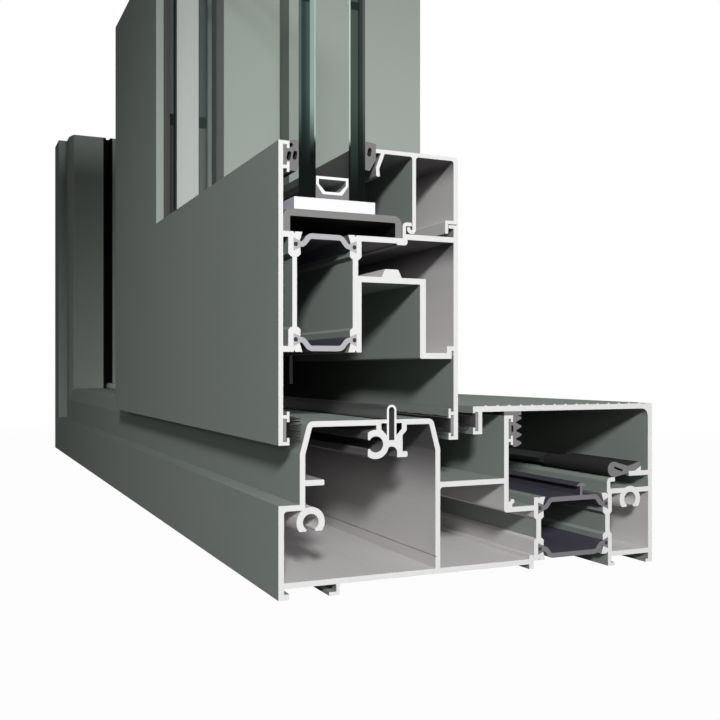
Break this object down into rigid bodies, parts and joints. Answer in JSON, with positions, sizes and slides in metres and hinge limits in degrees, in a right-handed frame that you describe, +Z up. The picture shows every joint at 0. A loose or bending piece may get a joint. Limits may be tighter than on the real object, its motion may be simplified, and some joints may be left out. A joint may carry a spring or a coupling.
{
  "type": "sliding patio door corner sample",
  "caption": "Cut-away bottom corner of a thermally broken sliding patio door: sill, jamb, glazed sliding sash on a rail, threshold cover and fixed light.",
  "frame": {"origin": "middle of the footprint at the underside of the sill", "axes": "+X along the sill towards the cut face, +Y from the outer face towards the room, +Z up"},
  "size_m": [0.66, 0.155, 0.292],
  "materials": {
    "painted_profile": "fine satin grey-green powder coat, bare aluminium on the cut faces and in the closed chambers",
    "isolator_strip": "glass-filled polyamide strip",
    "gasket_rubber": "matt black rubber",
    "brush_pile": "black pile on a grey backing",
    "clear_glass": "clear float glass with dark green cut edges",
    "spacer_aluminium": "satin mill finish",
    "edge_sealant": "dull grey sealant",
    "glazing_packer": "white moulded plastic",
    "glazing_bridge": "grey extruded plastic",
    "stainless_rail": "drawn stainless steel",
    "carriage_steel": "zinc-plated steel",
    "roller_plastic": "dark moulded nylon"
  },
  "bodies": {
    "frame": {"back_wall_gasket": "gasket_rubber", "fixed_edge_seal": "edge_sealant", "fixed_inner_gasket": "gasket_rubber", "fixed_inner_pane": "clear_glass", "fixed_jamb_bead": "painted_profile", "fixed_outer_pane": "clear_glass", "fixed_setting_block": "glazing_packer", "fixed_sill_bead": "painted_profile", "jamb_front_profile": "painted_profile", "jamb_isolators": "isolator_strip", "jamb_rear_profile": "painted_profile", "mullion_bead": "painted_profile", "mullion_cover": "painted_profile", "mullion_front_shell": "painted_profile", "mullion_gasket": "gasket_rubber", "mullion_isolators": "isolator_strip", "mullion_rear_shell": "painted_profile", "rail_clip": "stainless_rail", "sill_front_profile": "painted_profile", "sill_isolators": "isolator_strip", "sill_rear_profile": "painted_profile", "threshold_brush": "brush_pile", "threshold_clip_gasket": "gasket_rubber", "threshold_cover": "painted_profile"},
    "sash": {"edge_sealant": "edge_sealant", "glazing_bridge": "glazing_bridge", "inner_glazing_gasket": "gasket_rubber", "inner_pane": "clear_glass", "outer_glazing_gasket": "gasket_rubber", "outer_pane": "clear_glass", "roller_housing": "carriage_steel", "roller_wheels": "roller_plastic", "sash_brushes": "brush_pile", "sash_rail_bead": "painted_profile", "sash_rail_inner_shell": "painted_profile", "sash_rail_isolators": "isolator_strip", "sash_rail_outer_shell": "painted_profile", "sash_stile_bead": "painted_profile", "sash_stile_inner_shell": "painted_profile", "sash_stile_isolators": "isolator_strip", "sash_stile_outer_shell": "painted_profile", "setting_block": "glazing_packer", "spacer_bar": "spacer_aluminium", "stile_cover_strip": "painted_profile"}
  },
  "joints": [
    {"name": "sash_slide", "type": "slide", "parent": "frame", "child": "sash", "axis": [-1, 0, 0], "range_m": [0, 0.28]}
  ]
}
